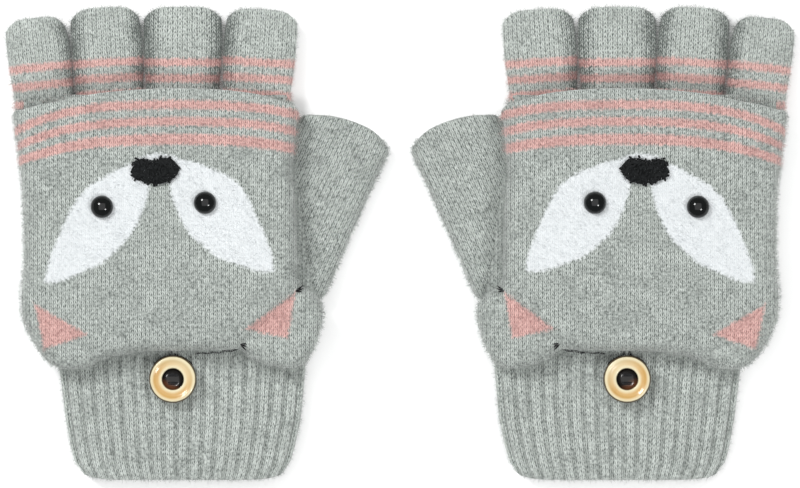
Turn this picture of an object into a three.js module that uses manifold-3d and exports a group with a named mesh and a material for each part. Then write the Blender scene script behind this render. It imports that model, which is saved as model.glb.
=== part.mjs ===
// A pair of convertible flip-top mittens for a child: ribbed cuff, hand, four open half fingers,
// an open thumb, and a knitted cap that flips between the back of the hand and the fingertips.
// Millimetres. X across the pair, Y towards the fingertips, Z up from the palm side, origin on
// the surface that the palms rest on, midway between the mittens.
import * as THREE from "three";
import { mergeVertices } from "three/addons/utils/BufferGeometryUtils.js";
import Module from "manifold-3d";

const wasm = await Module();
wasm.setup();

// ---- driving dimensions ----
const length = 154; // cuff hem to the tip of the middle finger
const mittenCentre = 79.5; // from the middle of the pair to the middle of one mitten
const gap = 0.3; // left between neighbouring pieces
const knitWall = 1.8; // thickness of the hand's and cuff's knit
const capWall = 1.7;
const fingerWall = 1.3;

const handTop = 10; // a hand laid flat, two layers with room for a child's hand
const fingerZ = [2.5, 9.5];
const thumbTop = 9;
const knuckleUnderside = 2.4; // the palm side rises towards the finger roots
const capZ = [handTop + 0.4, 22.2]; // the cap folded back on the hand
const hinge = { y: 46, z: 11.1 }; // the seam that joins the cap to the back of the hand
const sweepRoom = 0.5; // between the hand and the cap's palm layer as the cap swings over

const fingerTips = length / 2;
const hem = -length / 2;
const rootLine = 51.6; // where the finger tubes leave the hand
const wristLine = -32;
const thumbCrotch = [45.7, 41.5];
const thumbHeel = [53.3, -14];

// ---- materials ----
const knitGrey = material(0xb4bbb6, 0.95);
const earKnit = material(0xb7bdb8, 0.95);
const noseYarn = material(0x14181a, 0.9);
const glossBlack = material(0x101414, 0.12);
const buttonResin = material(0xe0b673, 0.35);
const threadGrey = material(0x8f9793, 0.85);
const threadBlack = material(0x1c1d1e, 0.7);
const loopElastic = material(0x3a3f3d, 0.8);

function material(color, roughness) {
  return new THREE.MeshStandardMaterial({ color, roughness, metalness: 0 });
}

// ---- solids ----
function solid(geometry) {
  const bare = geometry.clone();
  bare.deleteAttribute("normal");
  bare.deleteAttribute("uv");
  const merged = mergeVertices(bare, 1e-4);
  return new wasm.Manifold(
    new wasm.Mesh({
      numProp: 3,
      vertProperties: merged.attributes.position.array,
      triVerts: new Uint32Array(merged.index.array),
    }),
  );
}

function geometryOf(manifold) {
  const mesh = manifold.getMesh();
  const geometry = new THREE.BufferGeometry();
  geometry.setAttribute("position", new THREE.BufferAttribute(mesh.vertProperties, 3));
  geometry.setIndex(new THREE.BufferAttribute(mesh.triVerts, 1));
  geometry.computeVertexNormals();
  return geometry;
}

function outline(points) {
  return new THREE.Shape(points.map(([x, y]) => new THREE.Vector2(x, y)));
}

// A smooth closed outline through the points.
function smoothOutline(points, steps) {
  const curve = new THREE.CatmullRomCurve3(
    points.map(([x, y]) => new THREE.Vector3(x, y, 0)),
    true,
    "centripetal",
  );
  return new THREE.Shape(curve.getPoints(steps).slice(0, -1).map((p) => new THREE.Vector2(p.x, p.y)));
}

// A flat pillow with round edges between two heights, taken in by inset all round.
function pillow(shape, [low, high], edge, inset = 0) {
  const geometry = new THREE.ExtrudeGeometry(shape, {
    depth: high - low - 2 * edge,
    bevelThickness: edge,
    bevelSize: edge,
    bevelOffset: -edge - inset,
    bevelSegments: 3,
    curveSegments: 6,
  });
  return geometry.translate(0, 0, low + edge);
}

function prism(points, low = -50, high = 50) {
  const geometry = new THREE.ExtrudeGeometry(outline(points), { depth: high - low, bevelEnabled: false });
  return solid(geometry.translate(0, 0, low));
}

function box(x0, x1, y0, y1, z0, z1) {
  const geometry = new THREE.BoxGeometry(x1 - x0, y1 - y0, z1 - z0);
  return solid(geometry.translate((x0 + x1) / 2, (y0 + y1) / 2, (z0 + z1) / 2));
}

// Two layers of knit joined round the edge: a pillow less its inside. Its open ends come from a trim.
function knitShell(shape, [low, high], edge, wall) {
  const inside = pillow(shape, [low + wall, high - wall], Math.max(edge - wall, 0.8), wall);
  return { outer: solid(pillow(shape, [low, high], edge)), inner: solid(inside) };
}

function cylinderZ(radius, x, y, z0, z1, sides = 16) {
  const geometry = new THREE.CylinderGeometry(radius, radius, z1 - z0, sides);
  return geometry.rotateX(Math.PI / 2).translate(x, y, (z0 + z1) / 2);
}

function rodX(radius, x0, x1, y, z) {
  const geometry = new THREE.CylinderGeometry(radius, radius, x1 - x0, 10);
  return geometry.rotateZ(Math.PI / 2).translate((x0 + x1) / 2, y, z);
}

// A round thread or cord along a curve, with closed ends.
function cord(curve, radius, steps, sides = 8) {
  const section = new THREE.Shape();
  section.absarc(0, 0, radius, 0, 2 * Math.PI);
  return new THREE.ExtrudeGeometry(new THREE.Shape(section.getPoints(sides / 2).slice(0, -1)), {
    extrudePath: curve,
    steps,
    bevelEnabled: false,
  });
}

function polyline(points) {
  return new THREE.CatmullRomCurve3(points.map((p) => new THREE.Vector3(...p)), false, "centripetal");
}

// ---- hand and cuff ----

// Open at the wrist, at the four finger roots and along the thumb, from heel to crotch.
function handSolid() {
  const palmEnd = 35.5;
  const palm = outline([
    [47.5, wristLine - 8],
    [49, wristLine],
    [53.6, thumbHeel[1] - 1],
    [62, thumbHeel[1] + 4],
    [51, palmEnd],
    [-44.6, palmEnd],
    [-43.6, 16],
    [-42, 0],
    [-38.5, -18],
    [-33, wristLine],
    [-30, wristLine - 8],
  ]);
  const knuckles = outline([
    [50, 24],
    [50, 41.4],
    [44.9, 43.2],
    [44.4, rootLine + 8],
    [-44.7, rootLine + 8],
    [-44.4, 24],
  ]);
  const palmShell = knitShell(palm, [0, handTop], 3.5, knitWall);
  const knuckleShell = knitShell(knuckles, [knuckleUnderside, handTop], 2.5, 1.5);
  const trim = prism([
    [-60, wristLine],
    [55.8, wristLine],
    thumbHeel,
    [45.5, 42.8],
    [60, 42.8],
    [60, rootLine],
    [-60, rootLine],
  ]);
  const outer = palmShell.outer.add(knuckleShell.outer);
  const inner = palmShell.inner.add(knuckleShell.inner);
  return outer.subtract(inner).intersect(trim).subtract(capSweep());
}

// Beyond this round the cap's palm layer comes past as it swings over the fingers.
function capSweep() {
  const radius = capZ[1] - capWall - hinge.z - sweepRoom;
  const geometry = new THREE.CylinderGeometry(radius, radius, 140, 60).rotateZ(Math.PI / 2);
  return box(-60, 60, hinge.y, 60, -1, hinge.z).subtract(solid(geometry.translate(0, hinge.y, hinge.z)));
}

function cuffSolid() {
  const shape = smoothedCuff();
  const { outer, inner } = knitShell(shape, [0, handTop], 3.5, knitWall);
  return outer.subtract(inner).intersect(box(-60, 60, hem, wristLine - gap, -1, 20));
}

function smoothedCuff() {
  return outline([
    [-26, hem - 8],
    [43, hem - 8],
    [44.5, hem + 4],
    [47.5, -55],
    [49, wristLine],
    [49, wristLine + 8],
    [-33, wristLine + 8],
    [-33, wristLine],
    [-31, -55],
    [-28, hem + 4],
  ]);
}

// ---- finger tubes ----
// x across the root, x across the tip, and the height of the tip.
const fingers = {
  little: { root: [-44.8, -26.8], tip: [-48.8, -30.4], tipY: 73.6 },
  ring: { root: [-26.4, -4.6], tip: [-28.4, -6.2], tipY: 76.6 },
  middle: { root: [-4.0, 20.4], tip: [-4.6, 20.8], tipY: fingerTips },
  index: { root: [21.0, 43.4], tip: [22.6, 45.6], tipY: 75.6 },
};

function stadium(width, height) {
  const r = height / 2;
  const shape = new THREE.Shape();
  shape.absarc(width / 2 - r, 0, r, -Math.PI / 2, Math.PI / 2);
  shape.absarc(-width / 2 + r, 0, r, Math.PI / 2, (3 * Math.PI) / 2);
  return shape;
}

function fingerGeometry({ root, tip, tipY }) {
  const width = root[1] - root[0];
  const height = fingerZ[1] - fingerZ[0];
  const rim = stadium(width, height);
  rim.holes.push(new THREE.Path(stadium(width - 2 * fingerWall, height - 2 * fingerWall).getPoints(6)));
  const start = rootLine + gap;
  const settings = { depth: tipY - start, bevelEnabled: false, curveSegments: 6 };
  const geometry = new THREE.ExtrudeGeometry(rim, settings);
  return leanFinger(geometry.rotateX(-Math.PI / 2), { root, tip, tipY, start });
}

// Stands the tube along +Y between its root and tip, leaning with its finger.
function leanFinger(geometry, { root, tip, tipY, start }) {
  geometry.computeBoundingBox();
  const position = geometry.attributes.position;
  const { min, max } = geometry.boundingBox;
  const middleZ = (fingerZ[0] + fingerZ[1]) / 2;
  for (let i = 0; i < position.count; i++) {
    const along = (position.getY(i) - min.y) / (max.y - min.y);
    const centre = THREE.MathUtils.lerp((root[0] + root[1]) / 2, (tip[0] + tip[1]) / 2, along);
    const widthScale = THREE.MathUtils.lerp(1, (tip[1] - tip[0]) / (root[1] - root[0]), along);
    position.setXYZ(
      i,
      centre + position.getX(i) * widthScale,
      THREE.MathUtils.lerp(start, tipY, along),
      position.getZ(i) + middleZ,
    );
  }
  return geometry;
}

// ---- thumb ----
function thumbSolid() {
  const shape = outline([
    [38, 52],
    [38, -22],
    [54.5, -22],
    [55.2, -16],
    [58.7, -8.2],
    [63.9, 4.2],
    [69.8, 17.3],
    [75.6, 29.5],
    [80, 40],
    [80, 52],
  ]);
  const { outer, inner } = knitShell(shape, [0, thumbTop], 3.5, knitWall);
  const rim = [
    [76.5, 30.5],
    [75.0, 35.0],
    [69.0, 39.6],
    [59.0, 42.4],
    [thumbCrotch[0] + gap, 41.6],
  ];
  const trim = prism([
    [thumbHeel[0] + gap, thumbHeel[1]],
    [90, thumbHeel[1] - 1],
    [90, 30.5],
    ...rim,
  ]);
  return outer.subtract(inner).intersect(trim);
}

// ---- flip cap ----
const earChords = {
  thumb: [[26.4, -34.2], [46.9, -13.0]],
  little: [[-43.7, -15.3], [-18.3, -36.2]],
};
const eyes = { thumb: [16.1, 14.0], little: [-17.4, 12.7] };
const eyeRadius = 3.7;
const eyeShank = 0.9;

// The lip arches over the finger roots.
const lip = [
  [47.2, 44.3],
  [40.4, 47.3],
  [30.3, 49.9],
  [15.0, 51.2],
  [0, 51.2],
  [-17.3, 49.9],
  [-30.6, 47.3],
  [-40.0, 44.6],
  [-47.4, 42.6],
];

function capSolid() {
  const shape = outline([
    earChords.thumb[0],
    earChords.thumb[1],
    [46.6, -4],
    [46.0, 9.1],
    [45.4, 23.5],
    [46.8, 38],
    [47.0, 58],
    [-47.4, 58],
    [-47.0, 38],
    [-45.3, 29.3],
    [-43.7, 14.3],
    [-43.4, -1],
    earChords.little[0],
    earChords.little[1],
    [-8.5, -34.6],
    [10.1, -34.6],
  ]);
  const { outer, inner } = knitShell(shape, capZ, 4, capWall);
  const trim = prism([[-60, -60], [60, -60], [60, 44.3], ...lip, [-60, 42.6]]);
  const seamRelief = box(-60, 60, hinge.y - 0.8, 60, capZ[0] - 1, capZ[0] + capWall + 0.05);
  let cap = outer.subtract(inner).intersect(trim).subtract(seamRelief);
  for (const [x, y] of Object.values(eyes)) {
    cap = cap.subtract(solid(cylinderZ(eyeShank + 0.4, x, y, capZ[1] - 4, capZ[1] + 1)));
  }
  return cap;
}

// An ear is a corner of the cap, sewn off along a chord.
function earGeometry(side) {
  const clear = 0.35;
  const points = {
    thumb: [[26.9 + clear, -34.7], [30.6, -37.4], [36.5, -39.6], [48.0, -40.4], [50.6, -36],
      [53.6, -28.5], [54.8, -21.2], [52.4, -15.6], [47.4 + clear, -13.4]],
    little: [[-44.0 - clear, -16.0], [-44.4, -22.2], [-41.7, -30.0], [-36.5, -37.2], [-30.6, -40.6],
      [-23.5, -40.6], [-18.6 - clear, -36.8]],
  }[side];
  return pillow(outline(points), [capZ[0], 19.4], 3.2);
}

function alongChord(side, share, lift) {
  const [a, b] = earChords[side];
  return [THREE.MathUtils.lerp(a[0], b[0], share), THREE.MathUtils.lerp(a[1], b[1], share), lift];
}

// Running thread on the outside of the sewn-off corner.
function earSeamGeometry(side) {
  const height = capZ[1] + 0.7;
  const shares = [0.16, 0.33, 0.5, 0.67, 0.84];
  const inward = side === "thumb" ? [-2.6, 1.9] : [2.6, 2.6];
  const points = shares.map((share) => alongChord(side, share, height));
  return cord(polyline(points.map(([x, y, z]) => [x + inward[0], y + inward[1], z])), 0.35, 8, 6);
}

function noseGeometry() {
  const shape = smoothOutline(
    [[-7.6, 25.0], [-5.6, 27.9], [0.2, 28.6], [5.6, 28.2], [8.0, 24.4], [5.0, 21.0], [0, 19.9], [-5.6, 20.8]],
    16,
  );
  return pillow(shape, [capZ[1] + gap, capZ[1] + 1.9], 0.7);
}

function eyeGeometry([x, y]) {
  const base = capZ[1] + gap;
  const bottom = capZ[1] - capWall + 0.1;
  const arc = Array.from({ length: 5 }, (_, i) => {
    const angle = (i / 4) * (Math.PI / 2);
    return new THREE.Vector2(eyeRadius * Math.cos(angle), base + 0.7 + 2.6 * Math.sin(angle));
  });
  const profile = [
    new THREE.Vector2(0, bottom),
    new THREE.Vector2(eyeShank, bottom),
    new THREE.Vector2(eyeShank, base),
    new THREE.Vector2(eyeRadius - 0.3, base),
    ...arc.slice(0, -1),
    new THREE.Vector2(0, base + 3.3),
  ];
  return new THREE.LatheGeometry(profile, 16).rotateX(Math.PI / 2).translate(x, y, 0);
}

// ---- button, its thread and the loop ----
const button = { x: 5.4, y: -43.5, radius: 7.5, low: 12.5, high: 15.9, holeRadius: 0.8, holePitch: 1.35 };

function holePlaces() {
  const d = button.holePitch;
  return [[d, d], [-d, d], [-d, -d], [d, -d]].map(([x, y]) => [button.x + x, button.y + y]);
}

function buttonSolid() {
  const { radius, low, high } = button;
  const profile = [
    [0, low],
    [radius - 1.2, low],
    [radius, low + 1.2],
    [radius, high - 0.6],
    [radius - 0.6, high],
    [radius - 1.4, high],
    [radius - 2.2, high - 0.5],
    [3.8, high - 0.7],
    [3.3, high - 1.5],
    [0, high - 1.6],
  ].map(([r, z]) => new THREE.Vector2(r, z));
  const turned = new THREE.LatheGeometry(profile, 24).rotateX(Math.PI / 2);
  let disc = solid(turned.translate(button.x, button.y, 0));
  for (const [x, y] of holePlaces()) {
    disc = disc.subtract(solid(cylinderZ(button.holeRadius, x, y, low - 1, high + 1, 10)));
  }
  return disc;
}

// A wrapped thread shank under the button, with two stitches through its holes.
function buttonThreadSolid() {
  const top = button.high - 0.5;
  let thread = solid(cylinderZ(1.9, button.x, button.y, handTop + gap, button.low - gap, 12));
  for (const [x, y] of holePlaces()) {
    thread = thread.add(solid(cylinderZ(0.42, x, y, button.low - 1, top, 8)));
  }
  for (const side of [-1, 1]) {
    const y = button.y + side * button.holePitch;
    const reach = button.holePitch + 0.4;
    thread = thread.add(box(button.x - reach, button.x + reach, y - 0.4, y + 0.4, top - 0.7, top));
  }
  return thread;
}

const loop = { radius: 0.6, bend: 2.95, startY: -35.3, z: 11.2 };

function loopGeometry() {
  const { bend, startY, z } = loop;
  const arc = Array.from({ length: 9 }, (_, i) => {
    const angle = Math.PI + (i / 8) * Math.PI;
    return [button.x + bend * Math.cos(angle), button.y + bend * Math.sin(angle), z];
  });
  const points = [
    [button.x - bend, startY, z],
    [button.x - bend, (startY + button.y) / 2, z],
    ...arc,
    [button.x + bend, (startY + button.y) / 2, z],
    [button.x + bend, startY, z],
  ];
  return cord(polyline(points), loop.radius, 20, 8);
}

// The short bar of thread that holds both ends of the loop under the cap's tip.
function loopTackGeometry() {
  const y = loop.startY + 1.4;
  return rodX(0.4, button.x - 4, button.x + 4, y, loop.z);
}

function capSeamGeometry() {
  return rodX(0.45, -40.5, 41.5, hinge.y, hinge.z);
}

// ---- one mitten ----
function mitten(side) {
  const group = new THREE.Group();
  const add = (name, geometry, look) => {
    const mesh = new THREE.Mesh(geometry, look);
    mesh.name = `${side}_${name}`;
    group.add(mesh);
  };
  add("hand", geometryOf(handSolid()), knitGrey);
  add("cuff", geometryOf(cuffSolid()), knitGrey);
  for (const [name, finger] of Object.entries(fingers)) {
    add(`${name}_finger`, fingerGeometry(finger), knitGrey);
  }
  add("thumb", geometryOf(thumbSolid()), knitGrey);
  add("flip_cap", geometryOf(capSolid()), knitGrey);
  add("cap_seam", capSeamGeometry(), threadGrey);
  for (const corner of ["thumb", "little"]) {
    const [x, y] = eyes[corner];
    add(`ear_${corner}_side`, earGeometry(corner), earKnit);
    add(`ear_seam_${corner}_side`, earSeamGeometry(corner), threadGrey);
    add(`eye_${corner}_side`, eyeGeometry([x, y]), glossBlack);
    const ceiling = capZ[1] - capWall;
    const knot = cylinderZ(2.2, x, y, ceiling - 0.7, ceiling - 0.2, 12);
    add(`eye_knot_${corner}_side`, knot, threadBlack);
  }
  add("nose", noseGeometry(), noseYarn);
  add("button", geometryOf(buttonSolid()), buttonResin);
  add("button_thread", geometryOf(buttonThreadSolid()), threadBlack);
  add("button_loop", loopGeometry(), loopElastic);
  add("loop_tack", loopTackGeometry(), threadBlack);
  group.position.x = -mittenCentre;
  return group;
}

const pair = new THREE.Group();
pair.add(mitten("left"));
const mirrored = new THREE.Group();
mirrored.scale.x = -1;
mirrored.add(mitten("right"));
pair.add(mirrored);

export default pair;
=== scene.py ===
import math

import bmesh
import bpy
import numpy as np
from mathutils import Matrix, Vector


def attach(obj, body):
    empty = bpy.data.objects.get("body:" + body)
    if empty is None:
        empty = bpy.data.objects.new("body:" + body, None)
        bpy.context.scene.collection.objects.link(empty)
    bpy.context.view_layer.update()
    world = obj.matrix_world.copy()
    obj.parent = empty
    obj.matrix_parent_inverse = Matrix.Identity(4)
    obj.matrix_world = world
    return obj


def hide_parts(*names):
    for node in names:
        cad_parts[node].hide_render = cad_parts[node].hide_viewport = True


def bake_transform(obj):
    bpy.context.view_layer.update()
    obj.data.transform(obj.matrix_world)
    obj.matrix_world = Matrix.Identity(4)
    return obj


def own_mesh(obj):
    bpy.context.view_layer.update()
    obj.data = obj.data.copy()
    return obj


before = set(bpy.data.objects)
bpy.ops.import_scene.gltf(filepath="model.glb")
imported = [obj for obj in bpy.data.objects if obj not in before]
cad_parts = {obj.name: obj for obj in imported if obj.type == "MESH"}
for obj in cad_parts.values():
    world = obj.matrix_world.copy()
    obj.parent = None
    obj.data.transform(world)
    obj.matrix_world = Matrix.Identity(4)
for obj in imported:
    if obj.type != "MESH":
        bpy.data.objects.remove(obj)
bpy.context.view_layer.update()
mm = 0.001

# Shapes are drawn in millimetres on the left mitten, x from its middle line towards the thumb
# and y towards the fingertips. The right mitten is the same drawing mirrored.
pair = {"middle": 79.5}

yarn = {
    "grey": (0.600, 0.642, 0.610),
    "greyShade": (0.082, 0.097, 0.088),
    "white": (0.750, 0.775, 0.785),
    "whiteShade": (0.480, 0.515, 0.535),
    "pink": (0.800, 0.480, 0.440),
    "pinkShade": (0.310, 0.150, 0.140),
    "wale": 1.30,    # width of one column of stitches
    "course": 1.32,  # height of one row of stitches
    "rib": 4.6,      # width of one rib of the cuff
    "fingerRound": 50.75,  # 35 columns round a finger
}


class Value:
    # An output socket. Arithmetic on it adds Math nodes.
    def __init__(self, graph, socket):
        self.graph, self.socket = graph, socket

    def maths(self, operation, *others):
        return self.graph.maths(operation, self, *others)

    def __add__(self, other):
        return self.maths("ADD", other)

    def __sub__(self, other):
        return self.maths("SUBTRACT", other)

    def __rsub__(self, other):
        return self.graph.maths("SUBTRACT", other, self)

    def __mul__(self, other):
        return self.maths("MULTIPLY", other)

    def __truediv__(self, other):
        return self.maths("DIVIDE", other)

    def __abs__(self):
        return self.maths("ABSOLUTE")

    def fract(self):
        return self.maths("FRACT")

    def power(self, other):
        return self.maths("POWER", other)

    def most(self, other):
        # The larger of the two: "most(0.0)" is never below 0.
        return self.maths("MAXIMUM", other)

    def least(self, other):
        return self.maths("MINIMUM", other)

    def kept(self):
        # Held between 0 and 1.
        return self.most(0.0).least(1.0)


class Graph:
    def __init__(self, name):
        self.material = bpy.data.materials.new(name)
        self.material.use_nodes = True
        self.tree = self.material.node_tree
        self.shader = self.tree.nodes["Principled BSDF"]

    def add(self, kind, settings, values):
        node = self.tree.nodes.new(kind)
        for key, setting in settings.items():
            setattr(node, key, setting)
        for key, value in values.items():
            self.join(node.inputs[key], value)
        return node

    def join(self, socket, value):
        if isinstance(value, Value):
            value = value.socket
        if isinstance(value, bpy.types.NodeSocket):
            self.tree.links.new(value, socket)
        else:
            socket.default_value = value

    def maths(self, operation, *terms):
        node = self.add("ShaderNodeMath", {"operation": operation}, dict(enumerate(terms)))
        return Value(self, node.outputs[0])

    def mix(self, share, first, second):
        colours = {0: share, 6: opaque(first), 7: opaque(second)}
        return self.add("ShaderNodeMix", {"data_type": "RGBA"}, colours).outputs[2]

    def knitPlace(self):
        place = self.add("ShaderNodeUVMap", {"uv_map": "knit"}, {})
        parts = self.add("ShaderNodeSeparateXYZ", {}, {0: place.outputs[0]})
        return Value(self, parts.outputs[0]), Value(self, parts.outputs[1])

    def noise(self, scale, detail=2.0):
        place = self.add("ShaderNodeTexCoord", {}, {}).outputs["Object"]
        node = self.add("ShaderNodeTexNoise", {}, {"Vector": place, "Scale": scale, "Detail": detail})
        return Value(self, node.outputs[0])

    def bump(self, strength, depth, height):
        values = {"Strength": strength, "Distance": depth * mm, "Height": height}
        return self.add("ShaderNodeBump", {}, values).outputs[0]

    def finish(self, values):
        for key, value in values.items():
            self.join(self.shader.inputs[key], value)
        return self.material


def opaque(colour):
    return (*colour, 1.0) if isinstance(colour, tuple) and len(colour) == 3 else colour


def insideConvex(x, y, points):
    # Distance inside a convex outline that runs either way round; negative outside.
    middleX = sum(p[0] for p in points) / len(points)
    middleY = sum(p[1] for p in points) / len(points)
    nearest = None
    for (ax, ay), (bx, by) in zip(points, points[1:] + points[:1]):
        length = math.hypot(bx - ax, by - ay)
        nx, ny = (ay - by) / length, (bx - ax) / length
        if (middleX - ax) * nx + (middleY - ay) * ny < 0:
            nx, ny = -nx, -ny
        distance = x.maths("MULTIPLY_ADD", nx, -(ax * nx + ay * ny))
        distance = y.maths("MULTIPLY_ADD", ny, distance)
        nearest = distance if nearest is None else nearest.least(distance)
    return nearest


def stitchHeight(u, v, wale, course):
    # Columns of V stitches: two leaning legs to a stitch, with a hollow where they meet.
    across = abs((u / wale).fract() - 0.5) * 2
    leg = 1 - abs(((v / course) - across * 1.2).fract() * 2 - 1)
    hollow = (1 - across * 2.4).most(0.0)
    between = (across * 4 - 3).most(0.0)
    return (leg * 0.6 + 0.4) * (1 - hollow * 0.7) * (1 - between * 0.55)


def knitMaterial(name, colourWork=None, wale=yarn["wale"], course=yarn["course"], show=1.0, lift=0.0,
                 rib=None, shadedFlanks=None):
    graph = Graph(name)
    u, v = graph.knitPlace()
    fluff = graph.noise(1150.0, 2.0)
    cloud = graph.noise(150.0, 2.0)
    wander = (graph.noise(330.0, 1.0) - 0.5) * 1.5
    stitch = stitchHeight(u + wander * 0.3, v + wander, wale, course)
    bare = ((cloud - 0.5) * 3 + show).most(0.3).least(1.5)  # where the fluff has rubbed away
    # Painted light and shade: the stitch hollows and the gaps between columns are painted darker as shade.
    # The fluff and cloud noise is the yarn's own uneven tone.
    light = (stitch - 0.54) * bare * 1.05 + (fluff - 0.5) * 1.5 + (cloud - 0.5) * 0.35 + (0.5 + lift)
    if rib:
        # Painted shade darkens the furrows between the ribs.
        furrowShade = (abs((u / rib).fract() - 0.5) * 4 - 1.2).most(0.0)
        light = light - furrowShade * furrowShade * 0.34 + 0.05
    if shadedFlanks:
        # Painted shade darkens the sides of each finger that meet a neighbour, where shade falls in the
        # crease between them. The tuple holds the length round, the right flank and the left flank.
        around, right, left = shadedFlanks
        for share, place in ((right, 0.25), (left, 0.75)):
            flankShade = (1 - abs((u / around).fract() - place) / 0.13).most(0.0)
            light = light - flankShade * share
    light = light.kept()
    colour = graph.mix(light, yarn["greyShade"], yarn["grey"])
    if colourWork:
        blur = (fluff - 0.5) * 4 + wander * 0.6
        white, pink = colourWork(u, v, blur)
        if pink is not None:
            colour = graph.mix(pink, colour, graph.mix(light, yarn["pinkShade"], yarn["pink"]))
        if white is not None:
            pale = (light * 0.45 + 0.5).least(1.0)
            colour = graph.mix(white, colour, graph.mix(pale, yarn["whiteShade"], yarn["white"]))
    relief = graph.bump(0.6, 0.5, stitch * 0.7 + fluff)
    return graph.finish({"Base Color": colour, "Roughness": 0.95, "Normal": relief,
                         "Specular IOR Level": 0.12, "Sheen Weight": 0.55, "Sheen Roughness": 0.5})


def soft(distance, width=1.1):
    return (distance / width + 0.5).kept()


face = {
    "patch": [(2.6, 28.6), (12.0, 26.6), (22.4, 21.8), (26.6, 18.2), (29.4, 13.6), (34.0, 3.0), (36.6, -4.5),
              (37.2, -9.8), (34.5, -10.3), (31.0, -9.6), (18.6, -4.7), (9.9, 3.0), (7.3, 7.4), (5.3, 12.0),
              (4.0, 16.0), (2.7, 23.5)],
    "tilt": 0.05,
    "mirrorLine": 1.3,
    "noseHalo": (0.9, 25.2, 8.2, 4.9),
    "stripes": ((46.0, 1.4), (40.5, 1.4), (34.7, 1.7)),  # height on the cap, half width
    "ears": [[(-39.6, -18.6), (-36.6, -34.0), (-21.6, -28.9)], [(45.8, -14.6), (43.2, -30.4), (28.6, -27.2)]],
}
pinkShare = 0.88  # some grey always shows through the pink
fingerStripeHalf = 1.25


def capColours(u, v, blur):
    side = abs(u - face["mirrorLine"])
    patch = insideConvex(side, v - u * face["tilt"], face["patch"])
    centreX, centreY, wide, high = face["noseHalo"]
    haloX, haloY = (u - centreX) / wide, (v - centreY) / high
    halo = (1 - (haloX * haloX + haloY * haloY)) * high * 0.5
    pink = stripes(v, face["stripes"])
    for ear in face["ears"]:
        pink = pink.most(insideConvex(u, v, ear) - 0.3)
    return soft(patch.most(halo) + blur * 0.7), soft(pink + blur * 0.6) * pinkShare


def stripes(v, bands):
    pink = None
    for height, half in bands:
        band = half - abs(v - height)
        pink = band if pink is None else pink.most(band)
    return pink


def fingerStripes(heights):
    bands = [(height, fingerStripeHalf) for height in heights]
    return lambda u, v, blur: (None, soft(stripes(v, bands) + blur * 0.6) * pinkShare)


def fingerKnit(name, heights, rightFlankShade, leftFlankShade):
    return knitMaterial(name, fingerStripes(heights), wale=1.45, course=1.4, show=1.35, lift=0.085,
                        shadedFlanks=(yarn["fingerRound"], rightFlankShade, leftFlankShade))


def glossMaterial(name, colour, roughness, coat):
    graph = Graph(name)
    smudge = graph.noise(600.0)
    tint = graph.mix(smudge, tuple(c * 0.7 for c in colour), tuple(c * 1.3 for c in colour))
    return graph.finish({"Base Color": tint, "Roughness": (smudge * 0.1 + (roughness - 0.05)).most(0.02),
                         "Specular IOR Level": 0.14, "Coat Weight": coat, "Coat Roughness": 0.03})


def yarnMaterial(name, dark, light, depth=0.4, shine=0.12):
    graph = Graph(name)
    strands = graph.noise(1500.0, 4.0)
    colour = graph.mix((strands * 1.6 - 0.3).kept(), dark, light)
    return graph.finish({"Base Color": colour, "Roughness": 0.85, "Normal": graph.bump(0.9, depth, strands),
                         "Specular IOR Level": shine})


button = {
    "centre": (5.4, -43.5), "under": 12.5,
    # radius, height above the underside
    "profile": [(0.0, 0.0), (6.1, 0.0), (7.4, 0.55), (7.85, 1.6), (7.8, 2.6), (7.3, 3.25), (6.7, 3.4),
                (6.1, 3.15), (5.5, 2.85), (4.6, 2.75), (3.8, 2.8), (3.5, 2.5), (3.2, 1.8), (2.6, 1.15),
                (1.4, 0.95), (0.0, 0.9)],
    "cupRadius": 3.6, "rimRadius": 7.3, "hole": 1.35,
    "cream": (0.66, 0.60, 0.40), "tan": (0.45, 0.25, 0.065), "honey": (0.56, 0.36, 0.13),
    "rim": (0.07, 0.045, 0.02), "cup": (0.006, 0.005, 0.004), "cupLitWall": (0.085, 0.030, 0.012),
}


def buttonMaterial():
    # Rings of colour by distance from the button's middle, read from its own map.
    graph = Graph("turnedResin")
    u, v = graph.knitPlace()
    grain = graph.noise(260.0, 3.0)
    radius = (u * u + v * v).power(0.5) + (grain - 0.5) * 0.35
    glow = (1.5 - abs(radius - 5.5) / 1.1).kept()
    # The tan is strongest towards the lower left and fades to cream towards the upper right, a painted
    # highlight on that side of the ring.
    lower = (0.62 - v * 0.07 - u * 0.05).kept()
    warm = graph.mix(grain, button["honey"], button["tan"])
    ring = graph.mix(glow * (lower + 0.3).least(1.0), button["cream"], warm)
    middle = soft(button["cupRadius"] - radius, 0.3)
    edge = soft(radius - button["rimRadius"], 0.25)
    ring = graph.mix(edge, ring, button["rim"])
    # Painted light and shade in the cup: its lower wall is painted as lit reddish brown, and the rest is
    # painted as shaded near-black.
    litCrescent = ((u * -0.25 - v * 0.5 + grain - 0.9) * 0.9).kept()
    colour = graph.mix(middle, ring, graph.mix(litCrescent, button["cup"], button["cupLitWall"]))
    return graph.finish({"Base Color": colour, "Roughness": 0.30 - middle * 0.08, "Specular IOR Level": 0.35,
                         "Coat Weight": (1 - middle) * 0.35, "Coat Roughness": 0.1})


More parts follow.
